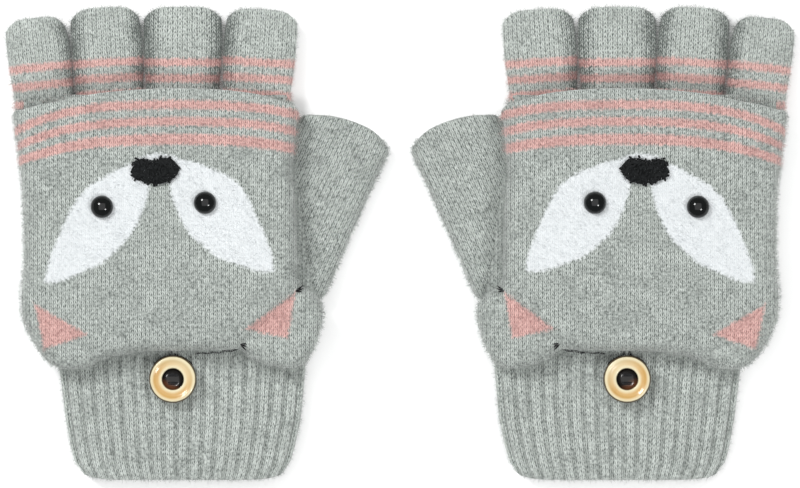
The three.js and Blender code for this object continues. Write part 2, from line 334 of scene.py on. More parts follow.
finishes = {
    "cap": knitMaterial("capKnit", capColours),
    "hand": knitMaterial("handKnit"),
    "thumb": knitMaterial("thumbKnit", show=1.35),
    "cuff": knitMaterial("ribKnit", wale=yarn["rib"] / 3, course=1.42, rib=yarn["rib"]),
    "little": fingerKnit("littleKnit", (58.4, 52.6, 46.8), 0.7, 0.0),
    "ring": fingerKnit("ringKnit", (60.0, 54.8, 49.6), 0.7, 0.7),
    "index": fingerKnit("indexKnit", (60.0, 54.8, 49.6), 0.0, 0.7),
    "nose": yarnMaterial("noseYarn", (0.002, 0.003, 0.003), (0.014, 0.016, 0.017), 0.8, 0.3),
    "eye": glossMaterial("glossBlack", (0.003, 0.004, 0.004), 0.07, 0.38),
    "button": buttonMaterial(),
    "darkThread": yarnMaterial("darkThread", (0.005, 0.005, 0.006), (0.028, 0.028, 0.030)),
    "greyThread": yarnMaterial("greyThread", (0.15, 0.17, 0.16), (0.40, 0.43, 0.41)),
    "elastic": yarnMaterial("coveredElastic", (0.005, 0.005, 0.006), (0.030, 0.030, 0.032)),
}
print("finishes ready")


def finishMesh(name, bm, material, modifiers=()):
    mesh = bpy.data.meshes.new(name)
    bm.to_mesh(mesh)
    bm.free()
    for polygon in mesh.polygons:
        polygon.use_smooth = True
    piece = bpy.data.objects.new(name, mesh)
    bpy.context.scene.collection.objects.link(piece)
    mesh.materials.append(finishes[material])
    for kind, settings in modifiers:
        modifier = piece.modifiers.new(kind.title(), kind)
        for key, value in settings.items():
            setattr(modifier, key, value)
    return piece


subdivide = ("SUBSURF", {"levels": 1, "render_levels": 1})


def walled(thickness):
    return "SOLIDIFY", {"thickness": thickness * mm, "offset": -1, "use_rim": True}


def placed(bm, side):
    # From millimetres on the left mitten to the pair's frame in metres.
    if side == "right":
        bmesh.ops.scale(bm, vec=(-1, 1, 1), verts=bm.verts)
        bmesh.ops.reverse_faces(bm, faces=bm.faces)
    shift = -pair["middle"] if side == "left" else pair["middle"]
    bmesh.ops.translate(bm, vec=(shift, 0, 0), verts=bm.verts)
    bmesh.ops.scale(bm, vec=(mm, mm, mm), verts=bm.verts)
    return bm


def setMap(bm, place):
    # place(face, loop) gives the knit map's two numbers, in millimetres.
    layer = bm.loops.layers.uv.get("knit") or bm.loops.layers.uv.new("knit")
    for one in bm.faces:
        for loop in one.loops:
            loop[layer].uv = place(one, loop)


def smoothNoise(plan, size, seed):
    # A gentle unevenness of cloth: a few crossed waves.
    x, y = plan[:, 0], plan[:, 1]
    rng = np.random.RandomState(seed)
    total = 0.0
    for _ in range(5):
        angle, phase, stretch = rng.uniform(0, 6.28), rng.uniform(0, 6.28), rng.uniform(0.7, 1.5)
        total = total + np.sin((x * math.cos(angle) + y * math.sin(angle)) * 6.28 * stretch / size + phase)
    return total / 5


def distanceTo(points, a, b):
    a, b = np.array(a, float), np.array(b, float)
    run = b - a
    t = np.clip(((points - a) @ run) / (run @ run), 0, 1)
    return np.linalg.norm(points - (a + t[:, None] * run), axis=1)


def nearestOn(point, segments):
    best, where = 1e9, None
    for a, b in segments:
        run = b - a
        t = max(0.0, min(1.0, (point - a).dot(run) / run.length_squared))
        q = a + run * t
        if (q - point).length < best:
            best, where = (q - point).length, q
    return where


def insideOutline(x, y, outline):
    hit = False
    for (ax, ay), (bx, by) in zip(outline, outline[1:] + outline[:1]):
        if (ay > y) != (by > y) and x < (bx - ax) * (y - ay) / (by - ay) + ax:
            hit = not hit
    return hit


def betweenPoints(before, start, end, after, steps):
    # A smooth curve from start to end, less its last point. The neighbours on both sides set how it bends.
    p, q, r, s = Vector(before), Vector(start), Vector(end), Vector(after)
    bend, twist = 2 * p - 5 * q + 4 * r - s, 3 * q - p - 3 * r + s
    return [tuple(0.5 * (2 * q + (r - p) * t + bend * t * t + twist * t ** 3))
            for t in (step / steps for step in range(steps))]


def rounded(points, steps):
    # A smooth closed line through the points.
    count = len(points)
    line = []
    for i in range(count):
        line += betweenPoints(*(points[(i + k) % count] for k in (-1, 0, 1, 2)), steps)
    return line


def smoothed(points, steps):
    # A smooth open line through the points.
    ends = [points[0], *points, points[-1]]
    line = []
    for i in range(len(points) - 1):
        line += betweenPoints(*ends[i:i + 4], steps)
    return line + [points[-1]]


def clothEnvelope(outline, isOpen, step, top, bottom, underCut=None):
    # Two layers of cloth over one outline, joined along its edge except where isOpen says so. top and
    # bottom give the layers' heights, and underCut is where the lower layer ends, if before the upper.
    xs, ys = [p[0] for p in outline], [p[1] for p in outline]
    wide, high = max(xs) - min(xs) + 2 * step, max(ys) - min(ys) + 2 * step
    bm = bmesh.new()
    layer, tag = bm.verts.layers.int.new("rim"), bm.faces.layers.int.new("under")
    centre = Vector(((max(xs) + min(xs)) / 2, (max(ys) + min(ys)) / 2, 0))
    bmesh.ops.create_grid(bm, x_segments=round(wide / step), y_segments=round(high / step), size=0.5,
                          matrix=Matrix.Translation(centre) @ Matrix.Diagonal((wide, high, 1, 1)))
    outside = [f for f in bm.faces if not insideOutline(*f.calc_center_median().xy, outline)]
    bmesh.ops.delete(bm, geom=outside, context="FACES")
    segments = [(Vector(a), Vector(b)) for a, b in zip(outline, outline[1:] + outline[:1])]
    for _ in range(2):
        for v in bm.verts:
            if v.is_boundary:
                q = nearestOn(v.co.xy, segments)
                v.co.x, v.co.y = q.x, q.y
        inner = [v for v in bm.verts if not v.is_boundary]
        bmesh.ops.smooth_vert(bm, verts=inner, factor=0.5, use_axis_x=True, use_axis_y=True)
    bmesh.ops.dissolve_degenerate(bm, dist=0.02, edges=bm.edges)
    bm.verts.index_update()
    for v in bm.verts:
        v[layer] = (v.index + 1) if v.is_boundary else 0
    copied = bmesh.ops.duplicate(bm, geom=bm.verts[:] + bm.edges[:] + bm.faces[:])
    under = [g for g in copied["geom"] if isinstance(g, bmesh.types.BMVert)]
    underFaces = [g for g in copied["geom"] if isinstance(g, bmesh.types.BMFace)]
    bmesh.ops.reverse_faces(bm, faces=underFaces)
    for f in underFaces:
        f[tag] = 1
    underSet = set(under)
    upper = [v for v in bm.verts if v not in underSet]
    for verts, heights in ((upper, top), (under, bottom)):
        plan = np.array([v.co.xy for v in verts])
        for v, z in zip(verts, heights(plan)):
            v.co.z = z
    below = {v[layer]: v for v in under if v[layer]}
    weld = {}
    for v in upper:
        if v[layer] and not isOpen(v.co.x, v.co.y):
            weld[below[v[layer]]] = v
    bmesh.ops.weld_verts(bm, targetmap=weld)
    if underCut is not None:
        faces = [f for f in bm.faces if f[tag]]
        geom = set(faces)
        for f in faces:
            geom.update(f.edges)
            geom.update(f.verts)
        bmesh.ops.bisect_plane(bm, geom=list(geom), dist=1e-4, plane_co=(0, underCut, 0), plane_no=(0, 1, 0))
        gone = [f for f in bm.faces if f[tag] and f.calc_center_median().y > underCut]
        bmesh.ops.delete(bm, geom=gone, context="FACES")
    return bm, tag


def eased(share, full=1.0):
    # 0 to full with a gentle start and end.
    share = np.clip(share, 0, 1)
    return full * share * share * (3 - 2 * share)


def roundEdge(distance, radius):
    # A quarter round: 0 at the edge, 1 from radius inwards.
    inward = np.clip(distance / radius, 0, 1)
    return np.sqrt(1 - (1 - inward) ** 2)


def outlineDistance(points, outline, isOpen):
    # How far the points are from the joined part of the outline.
    best = np.full(len(points), 1e9)
    for a, b in zip(outline, outline[1:] + outline[:1]):
        if isOpen((a[0] + b[0]) / 2, (a[1] + b[1]) / 2):
            continue
        best = np.minimum(best, distanceTo(points, a, b))
    return best


fibre = {"length": (0.8, 2.8), "thick": 0.046, "sunk": 0.15}


def growFuzz(name, piece, material, perSquare, seed, length=fibre["length"], keep=None):
    # Short loose fibres on the outside of a knitted piece, so many to a square millimetre. Each is a thin
    # closed spike. keep(centres, normals) thins them where it is below 1.
    mesh = piece.data
    mesh.calc_loop_triangles()
    rng = np.random.RandomState(seed)
    co = np.array([v.co[:] for v in mesh.vertices])
    tris = np.array([t.vertices[:] for t in mesh.loop_triangles])
    loops = np.array([t.loops[:] for t in mesh.loop_triangles])
    uv = np.array([d.uv[:] for d in mesh.uv_layers["knit"].data])
    a, b, c = co[tris[:, 0]], co[tris[:, 1]], co[tris[:, 2]]
    normal = np.cross(b - a, c - a)
    area = np.linalg.norm(normal, axis=1)
    normal = normal / np.maximum(area, 1e-12)[:, None]
    if keep is not None:
        area = area * keep((a + b + c) / 3, normal)
    count = int(area.sum() / 2 * 1e6 * perSquare)
    pick = rng.choice(len(tris), count, p=area / area.sum())
    r1, r2 = np.sqrt(rng.rand(count)), rng.rand(count)
    wa, wb, wc = (1 - r1)[:, None], (r1 * (1 - r2))[:, None], (r1 * r2)[:, None]
    root = a[pick] * wa + b[pick] * wb + c[pick] * wc
    place = uv[loops[pick, 0]] * wa + uv[loops[pick, 1]] * wb + uv[loops[pick, 2]] * wc
    stray = rng.normal(size=(count, 3))
    lean = normal[pick] * 0.75 + stray * 0.55
    lean /= np.linalg.norm(lean, axis=1)[:, None]
    side = np.cross(lean, rng.normal(size=(count, 3)))
    side /= np.linalg.norm(side, axis=1)[:, None]
    other = np.cross(lean, side)
    tall = rng.uniform(*length, count)[:, None] * mm
    thick = fibre["thick"] * mm
    root = root - normal[pick] * fibre["sunk"] * mm
    verts = np.stack([root + side * thick, root - side * thick * 0.5 + other * thick * 0.87,
                      root - side * thick * 0.5 - other * thick * 0.87, root + lean * tall], 1).reshape(-1, 3)
    first = (np.arange(count) * 4)[:, None, None]
    shape = np.array([[0, 2, 1], [0, 1, 3], [1, 2, 3], [2, 0, 3]])
    made = bpy.data.meshes.new(name)
    made.from_pydata(verts, [], (first + shape[None]).reshape(-1, 3).tolist())
    layer = made.uv_layers.new(name="knit")
    layer.data.foreach_set("uv", np.repeat(place, 12, axis=0).astype(np.float32).ravel())
    made.materials.append(finishes[material])
    fuzz = bpy.data.objects.new(name, made)
    bpy.context.scene.collection.objects.link(fuzz)
    return fuzz


def flatRing(count, halfWide, halfHigh, square):
    # Points evenly round a flattened oval, from the middle of its underside.
    angle = np.linspace(0, 2 * math.pi, 721) - math.pi / 2
    power = 2 / square
    x = halfWide * np.sign(np.cos(angle)) * np.abs(np.cos(angle)) ** power
    z = halfHigh * np.sign(np.sin(angle)) * np.abs(np.sin(angle)) ** power
    run = np.concatenate([[0], np.cumsum(np.hypot(np.diff(x), np.diff(z)))])
    along = np.arange(count) / count * run[-1]
    return np.interp(along, run, x), np.interp(along, run, z)


def loftTube(rings, closeUp=True):
    # rings is a list of (points, v): the same number of points in each, joined one to the next.
    count = len(rings[0][0])
    bm = bmesh.new()
    bmesh.ops.create_circle(bm, cap_ends=False, segments=count, radius=1)
    spoke, station = bm.verts.layers.int.new("spoke"), bm.verts.layers.int.new("station")
    bm.verts.ensure_lookup_table()
    for i, v in enumerate(bm.verts):
        v[spoke] = i
        v.co = rings[0][0][i]
    edges = bm.edges[:]
    for j, (points, _) in enumerate(rings[1:], 1):
        made = bmesh.ops.extrude_edge_only(bm, edges=edges)["geom"]
        for v in (g for g in made if isinstance(g, bmesh.types.BMVert)):
            v.co = points[v[spoke]]
            v[station] = j
        edges = [g for g in made if isinstance(g, bmesh.types.BMEdge)
                 and all(v[station] == j for v in g.verts)]
    if closeUp:
        first = [e for e in bm.edges if e.is_boundary and all(v[station] == 0 for v in e.verts)]
        bmesh.ops.bridge_loops(bm, edges=first + edges)
    bmesh.ops.recalc_face_normals(bm, faces=bm.faces)
    layer = bm.loops.layers.uv.new("knit")

    def faceOrder(face):
        # Extruding leaves the faces in an order that changes from run to run.
        spokes, stations = [v[spoke] for v in face.verts], [v[station] for v in face.verts]
        first = max(spokes) if max(spokes) - min(spokes) > count / 2 else min(spokes)
        return (max(stations) * len(rings) + min(stations)) * count + first

    bm.verts.sort(key=lambda v: v[station] * count + v[spoke])
    bm.faces.sort(key=faceOrder)
    for f in bm.faces:
        spokes = [loop.vert[spoke] for loop in f.loops]
        wraps = max(spokes) - min(spokes) > count / 2
        for loop in f.loops:
            i = loop.vert[spoke]
            if wraps and i == 0:
                i = count
            around, along = rings[loop.vert[station]][1]
            loop[layer].uv = (i / count * around, along)
    return bm


print("tools ready")

cap = {
    "floor": 10.45, "top": 22.2, "middle": 15.4,
    "edge": 6.5,
    "lip": [(-46.9, 42.8), (-44.0, 44.2), (-38.0, 45.9), (-30.6, 47.3), (-17.3, 49.9), (0.0, 51.2),
            (15.0, 51.2), (30.3, 49.9), (40.4, 47.3), (45.0, 45.4), (46.8, 43.6)],
    "thumbEdge": [(45.9, 36.0), (45.0, 23.5), (46.2, 9.1), (46.6, -3.9), (46.6, -10.5), (48.4, -13.2),
                  (52.5, -16.0), (54.8, -21.2), (53.6, -28.5), (50.8, -35.5), (47.2, -39.6), (42.0, -40.2),
                  (36.5, -39.4), (30.6, -37.0), (26.6, -34.2)],
    "tip": [(20.2, -34.5), (10.0, -34.7), (0.0, -34.9), (-10.4, -35.8), (-17.6, -37.6)],
    "littleEdge": [(-22.5, -40.0), (-30.6, -40.6), (-36.5, -37.0), (-41.4, -30.0), (-44.2, -22.2),
                   (-44.6, -15.5), (-43.7, -9.0), (-43.4, -1.0), (-43.7, 14.3), (-45.3, 29.3)],
    "seams": [((28.4, -32.3), (46.4, -14.4)), ((-43.6, -15.6), (-20.4, -34.6))],  # thumb side, little side
    "tipShadowYarn": [(12.6, -35.3, 12.6), (14.6, -34.9, 13.4), (16.6, -35.1, 13.6), (18.7, -34.7, 14.2),
                (20.6, -34.8, 14.4), (22.6, -34.2, 15.0), (24.4, -34.2, 15.2), (26.3, -33.5, 16.1),
                (27.8, -32.8, 16.8)],
    "seamDepth": (0.40, 0.14),  # share of the cap's height that each seam draws in
    "earDrop": (0.20, 0.08),    # share by which each ear is thinner than the cap
    "sideFold": ((-41.6, 40.0), (-39.6, -8.0)),
    "wall": 1.5,
    "step": 1.5,
    "underEnd": 45.2,
    "underShift": 500.0,  # moves the palm side's map off the face and the stripes
}


def archDrop(x, y):
    # How far the rows of stitches at the lip bow down towards the sides.
    fade = np.clip((y + 12) / 45, 0, 1)
    return -0.0000007 * np.abs(x - 7.0) ** 4 * fade - 0.0012 * (x - 7.0) ** 2 * fade


def capIsOpen(x, y):
    return (y > 42.2 and abs(x) < 46.9) or y > 44.5


def thinnerBelow(centres, normals):
    return np.where(normals[:, 2] < -0.5, 0.4, 1.0)


def makeCap(side):
    outline = rounded(cap["lip"] + cap["thumbEdge"] + cap["tip"] + cap["littleEdge"], 4)
    middle = cap["middle"]

    def pinch(plan):
        groove = 0.07 * np.exp(-(distanceTo(plan, *cap["sideFold"]) / 1.3) ** 2)
        for (a, b), depth in zip(cap["seams"], cap["seamDepth"]):
            groove = np.maximum(groove, depth * np.exp(-(distanceTo(plan, a, b) / 1.9) ** 2))
        return groove

    def earDrop(plan):
        drop = np.zeros(len(plan))
        for (a, b), outward, depth in zip(cap["seams"], ((1, -1), (-1, -1)), cap["earDrop"]):
            a, b = np.array(a), np.array(b)
            across = np.array([b[1] - a[1], a[0] - b[0]])
            across /= np.linalg.norm(across)
            if across @ np.array(outward) < 0:
                across = -across
            drop = np.maximum(drop, depth * np.clip(((plan - a) @ across) / 2.0, 0, 1))
        return drop

    def top(plan):
        rise = roundEdge(outlineDistance(plan, outline, capIsOpen), cap["edge"])
        rise = rise * (1 - earDrop(plan)) * (1 - pinch(plan))
        toTip = np.clip((-14 - plan[:, 1]) / 22, 0, 1)
        rise = rise * (1 - 0.16 * toTip ** 2)
        uneven = smoothNoise(plan, 46, 4) * 0.35 + smoothNoise(plan, 15, 9) * 0.12
        for eyeAt in eye["places"].values():
            rise = rise - 0.07 * np.exp(-(np.linalg.norm(plan - np.array(eyeAt), axis=1) / 4.6) ** 2)
        return middle + (cap["top"] - 0.35 - middle) * rise + uneven * rise * 0.9

    def bottom(plan):
        rise = roundEdge(outlineDistance(plan, outline, capIsOpen), cap["edge"] * 0.8)
        return middle - (middle - cap["floor"]) * rise * (1 - 0.8 * pinch(plan))

    bm, tag = clothEnvelope(outline, capIsOpen, cap["step"], top, bottom, cap["underEnd"])

    def place(one, loop):
        x, y = loop.vert.co.x, loop.vert.co.y
        if one[tag]:
            return x, y - cap["underShift"]
        return x, y - archDrop(x, y)

    setMap(bm, place)
    piece = finishMesh(f"{side}CapPouch", placed(bm, side), "cap", [walled(cap["wall"]), subdivide])
    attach(piece, f"{side}_cap")
    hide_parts(f"{side}_flip_cap", f"{side}_ear_thumb_side", f"{side}_ear_little_side")
    fuzz = growFuzz(f"{side}CapFuzz", piece, "cap", 3.3, 11, keep=thinnerBelow)
    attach(fuzz, f"{side}_cap")


eye = {"places": {"thumb": (16.1, 14.0), "little": (-17.4, 12.7)}, "radius": 3.7, "base": 21.2, "high": 4.3,
       "shank": 0.9, "skirt": 1.0}


def makeEye(side, corner):
    # A dome on a short skirt, with a shank under it.
    x, y = eye["places"][corner]
    radius, base, shank, skirt = eye["radius"], eye["base"], eye["shank"], eye["skirt"]
    bm = bmesh.new()
    profile = [(0.0, base - 0.5), (shank, base - 0.5), (shank, base + 0.1), (radius - 0.5, base + 0.1),
               (radius - 0.1, base + 0.5)]
    profile += [(radius * math.cos(a), base + skirt + (eye["high"] - skirt) * math.sin(a))
                for a in np.linspace(0, math.pi / 2, 12)]
    profile[-1] = (0.0, base + eye["high"])
    spin(bm, profile, (x, y), 48)
    piece = finishMesh(f"{side}Eye_{corner}", placed(bm, side), "eye")
    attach(piece, f"{side}_cap")
    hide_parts(f"{side}_eye_{corner}_side")


def spin(bm, profile, centre, steps):
    # Turns a profile of (radius, height) round an upright axis through centre.
    cx, cy = centre
    verts = [bm.verts.new((cx + r, cy, z)) for r, z in profile]
    edges = [bm.edges.new(pairOf) for pairOf in zip(verts, verts[1:])]
    bmesh.ops.spin(bm, geom=verts + edges, cent=(cx, cy, 0), axis=(0, 0, 1), angle=2 * math.pi, steps=steps,
                   use_merge=True)
    bmesh.ops.remove_doubles(bm, verts=bm.verts, dist=1e-4)
    bmesh.ops.recalc_face_normals(bm, faces=bm.faces)

    def turnOrder(point):
        # By height, then distance from the axis, then angle: spinning leaves no fixed order.
        across, away = point.x - cx, point.y - cy
        return point.z * 1e6 + math.hypot(across, away) * 1e3 + math.atan2(away, across)

    bm.verts.sort(key=lambda v: turnOrder(v.co))
    bm.faces.sort(key=lambda f: turnOrder(f.calc_center_median()))


nose = {"outline": [(-7.7, 24.8), (-7.2, 27.6), (-4.6, 28.7), (-1.6, 27.9), (1.6, 28.8), (5.2, 28.6),
                    (7.4, 26.3), (7.9, 24.2), (5.8, 21.4), (2.0, 19.9), (-2.0, 20.2), (-5.8, 21.0),
                    (-7.6, 22.4)],
        "base": 21.3, "high": 2.0, "edge": 2.6, "step": 0.55, "curls": 110, "curl": 0.8, "yarn": 0.34}


def neverOpen(x, y):
    return False


def makeNose(side):
    outline = rounded(nose["outline"], 4)

    def top(plan):
        rise = roundEdge(outlineDistance(plan, outline, neverOpen), nose["edge"])
        nubs = smoothNoise(plan, 1.9, 3) * 0.32 + smoothNoise(plan, 3.2, 7) * 0.25
        return nose["base"] + nose["high"] * rise * (1 + nubs * 0.6)

    def bottom(plan):
        return np.full(len(plan), nose["base"])

    bm, _ = clothEnvelope(outline, neverOpen, nose["step"], top, bottom)
    setMap(bm, lambda one, loop: (loop.vert.co.x, loop.vert.co.y))
    piece = finishMesh(f"{side}Nose", placed(bm, side), "nose", [subdivide])
    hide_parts(f"{side}_nose")
    rng = np.random.RandomState(5)
    curls = []
    while len(curls) < nose["curls"]:
        x, y, turn, size = rng.uniform((-8, 19.5, 0, 0.75), (8, 29, math.pi, 1.25))
        if insideOutline(x, y, outline):
            z, r = top(np.array([[x, y]]))[0] - 0.45, nose["curl"] * size
            arch = [(x + math.cos(turn) * r * math.cos(t), y + math.sin(turn) * r * math.cos(t),
                     z + r * math.sin(t)) for t in np.linspace(0, math.pi, 7)]
            curls.append(cordAlong(arch, nose["yarn"], 6))
    curled = finishMesh(f"{side}NoseCurls", placed(joined(curls), side), "nose")
    fuzz = growFuzz(f"{side}NoseFuzz", piece, "nose", 9, 21, (0.8, 1.9))
    for item in (piece, curled, fuzz):
        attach(item, f"{side}_cap")


def cordAlong(points, radius, sides=10):
    # A round cord through the points with round ends.
    path = [Vector(p) for p in points]
    rings = []
    up = Vector((0, 0, 1))
    lengths = [0.0]
    for a, b in zip(path, path[1:]):
        lengths.append(lengths[-1] + (b - a).length)
    for i, p in enumerate(path):
        ahead = (path[min(i + 1, len(path) - 1)] - path[max(i - 1, 0)]).normalized()
        across = ahead.cross(up if abs(ahead.z) < 0.9 else Vector((1, 0, 0))).normalized()
        rise = across.cross(ahead)
        r = radius * (0.35 if i in (0, len(path) - 1) else 1.0)
        ring = [p + (across * math.cos(t) + rise * math.sin(t)) * r
                for t in np.linspace(0, 2 * math.pi, sides + 1)[:-1]]
        rings.append((ring, (2 * math.pi * radius, lengths[i])))
    bm = loftTube(rings, False)
    bmesh.ops.holes_fill(bm, edges=[e for e in bm.edges if e.is_boundary], sides=sides)
    bmesh.ops.recalc_face_normals(bm, faces=bm.faces)
    return bm


def joined(parts):
    whole = bmesh.new()
    for bm in parts:
        mesh = bpy.data.meshes.new("part")
        bm.to_mesh(mesh)
        bm.free()
        whole.from_mesh(mesh)
        bpy.data.meshes.remove(mesh)
    return whole


earThread = {"stitches": 7, "ends": 17.7, "top": 18.2, "radius": 0.28}


def makeEarSeams(side):
    # A few short stitches in the groove and a dark knot at each end, as they are finished by hand.
    low, high, count = earThread["ends"], earThread["top"], earThread["stitches"]
    for corner, (a, b) in zip(("thumb", "little"), cap["seams"]):
        a, b = Vector(a), Vector(b)
        parts = []
        for i in range(count):
            p, q = a.lerp(b, (i + 0.15) / count), a.lerp(b, (i + 0.7) / count)
            over = [(*p.lerp(q, t), high) for t in (0.2, 0.5, 0.8)]
            parts.append(cordAlong([(*p, low), *over, (*q, low)], earThread["radius"], 8))
        piece = finishMesh(f"{side}EarSeam_{corner}", placed(joined(parts), side), "greyThread")
        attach(piece, f"{side}_cap")
        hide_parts(f"{side}_ear_seam_{corner}_side")
        if corner == "thumb":
            makeEarTacks(side, a, b)


def makeEarTacks(side, a, b):
    tack = []
    for end, turn in ((b, 0.3), (a, -0.5)):
        for k in (-1, 0, 1):
            d = Vector((math.cos(turn + k * 0.35), math.sin(turn + k * 0.35))) * 1.7
            m = end + Vector((0.2 * k, 0.45 * k))
            bow = ((-1, 17.6), (-0.5, 18.5), (0, 18.8), (0.5, 18.4), (1, 17.4))
            tack.append(cordAlong([(m.x + d.x * t, m.y + d.y * t, z) for t, z in bow], 0.24, 8))
    # Darker yarn runs along the tip's edge to the ear, thicker near it. It is partly a real thread and partly
    # a painted shadow: a dark cord laid where the tip's edge casts its shadow on the cuff.
    for first, last, radius in ((0, 5, 0.30), (3, 7, 0.36), (5, 9, 0.44)):
        tack.append(cordAlong(smoothed(cap["tipShadowYarn"][first:last], 4), radius, 8))
    knot = finishMesh(f"{side}EarTacks", placed(joined(tack), side), "darkThread")
    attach(knot, f"{side}_cap")


def makeButton(side):
    cx, cy = button["centre"]
    bm = bmesh.new()
    spin(bm, [(r, button["under"] + z) for r, z in button["profile"]], (cx, cy), 72)
    setMap(bm, lambda one, loop: (loop.vert.co.x - cx, loop.vert.co.y - cy))
    piece = finishMesh(f"{side}Button", placed(bm, side), "button", [subdivide])
    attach(piece, f"{side}_glove")
    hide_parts(f"{side}_button")
    parts = []
    z = button["under"] + 1.05
    bar = ((-1.9, -1.0), (-1.5, 0.0), (-0.7, 0.1), (0.7, 0.1), (1.5, 0.0), (1.9, -1.0))
    for k in (-1, 1):
        for offset in (-0.28, 0.28):
            y = cy + k * button["hole"] + offset
            parts.append(cordAlong([(cx + dx, y, z + dz) for dx, dz in bar], 0.2, 8))
    wound, wide = 10 * math.pi, 1.7
    shank = [(cx + (wide + 0.1 * math.sin(3 * t)) * math.cos(t), cy + wide * math.sin(t),
              10.2 + 2.3 * t / wound) for t in np.linspace(0, wound, 120)]
    parts.append(cordAlong(shank, 0.42, 8))
    thread = finishMesh(f"{side}ButtonThread", placed(joined(parts), side), "darkThread")
    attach(thread, f"{side}_glove")
    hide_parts(f"{side}_button_thread")


loop = {"radius": 0.5, "bend": 2.95, "start": -34.2, "height": 11.25, "hug": 7.5, "hugHeight": 13.3}


def makeLoop(side):
    # The elastic hugs the upper edge of the button, then dives under it and turns round the thread.
    cx, cy = button["centre"]
    bend, z, hug = loop["bend"], loop["height"], loop["hug"]
    half = [(-0.7, loop["start"] - cy + 0.6, z), (-0.9, loop["start"] - cy - 0.5, z + 0.9)]
    for degrees, height in ((102, 0.9), (116, 1), (130, 0.9), (142, 0.55)):
        turn = math.radians(degrees)
        half.append((hug * math.cos(turn), hug * math.sin(turn), z + (loop["hugHeight"] - z) * height))
    half += [(-5.2, 2.6, z + 0.2), (-3.8, 1.2, z)]
    under = [(bend * math.cos(t), bend * math.sin(t), z) for t in np.linspace(math.pi, 2 * math.pi, 17)]
    path = half + under + [(-x, y, h) for x, y, h in reversed(half)]
    path = [(cx + x, cy + y, h) for x, y, h in smoothed(path, 3)]
    piece = finishMesh(f"{side}ButtonLoop", placed(cordAlong(path, loop["radius"]), side), "elastic")
    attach(piece, f"{side}_loop")
    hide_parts(f"{side}_button_loop")
    bar = ((-4.2, -0.3), (-3.4, 0.5), (0.0, 0.6), (3.4, 0.5), (4.2, -0.3))
    bars = [cordAlong([(cx + dx, y, z + dz) for dx, dz in bar], 0.3, 8) for y in (-33.6, -34.1)]
    tack = finishMesh(f"{side}LoopTack", placed(joined(bars), side), "darkThread")
    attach(tack, f"{side}_cap")
    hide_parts(f"{side}_loop_tack")


hand = {
    "outline": [(-32.4, -36.0), (-34.0, -31.0), (-38.9, -18.0), (-42.2, 0.0), (-43.9, 16.0), (-45.0, 30.0),
                (-46.0, 40.0), (-46.0, 49.5), (44.0, 49.5), (45.3, 42.0), (47.7, 27.0), (50.4, 8.0),
                (52.6, -8.0), (53.0, -15.0), (51.2, -24.0), (49.2, -31.0), (48.2, -36.0)],
    "top": 10.0, "knuckle": 2.4, "knuckleFrom": 31.0, "edge": 4.5, "step": 1.9, "wall": 1.5,
    "underShift": 300.0,
}


def makeHand(side):
    outline = hand["outline"]

    def isOpen(x, y):
        return y < -35.0 or y > 48.9

    def floorAt(plan):
        return eased((plan[:, 1] - hand["knuckleFrom"]) / 6.0, hand["knuckle"])

    def top(plan):
        low = floorAt(plan)
        middle = (low + hand["top"]) / 2
        rise = roundEdge(outlineDistance(plan, outline, isOpen), hand["edge"])
        return middle + (hand["top"] - middle) * rise - 0.12 * (1 + smoothNoise(plan, 24, 2))

    def bottom(plan):
        low = floorAt(plan)
        middle = (low + hand["top"]) / 2
        return middle - (middle - low) * roundEdge(outlineDistance(plan, outline, isOpen), hand["edge"])

    bm, tag = clothEnvelope(outline, isOpen, hand["step"], top, bottom)
    setMap(bm, lambda one, loop: (loop.vert.co.x, loop.vert.co.y - hand["underShift"] * one[tag]))
    piece = finishMesh(f"{side}HandKnit", placed(bm, side), "hand", [walled(hand["wall"]), subdivide])
    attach(piece, f"{side}_glove")
    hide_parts(f"{side}_hand")
    fuzz = growFuzz(f"{side}HandFuzz", piece, "hand", 1.5, 31)
    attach(fuzz, f"{side}_glove")


thumb = {
    "outline": [(46.6, 42.2), (52.0, 42.9), (58.0, 42.4), (64.0, 40.8), (69.5, 38.4), (73.4, 35.4),
                (75.6, 32.6), (75.9, 30.2), (73.7, 25.4), (69.8, 17.3), (66.9, 10.6), (63.9, 4.2),
                (61.2, -2.4), (58.7, -8.2), (56.6, -13.2), (54.0, -17.4), (50.0, -16.0), (44.0, -6.0),
                (39.0, 8.0), (38.0, 22.0), (40.5, 34.0)],
    "rim": ((43.0, 43.5), (77.5, 31.0)), "mouthFrom": 47.5, "mouthEnd": 74.2,
    "low": 0.15, "top": 9.1, "edge": 4.6, "axis": (0.43, 0.9028), "step": 1.15, "wall": 1.6,
    "underShift": 300.0,
    "crease": (49.5, 13.8, 9.0), "out": (0.9907, 0.1357, 0),  # where it bends, and the way that it points
}


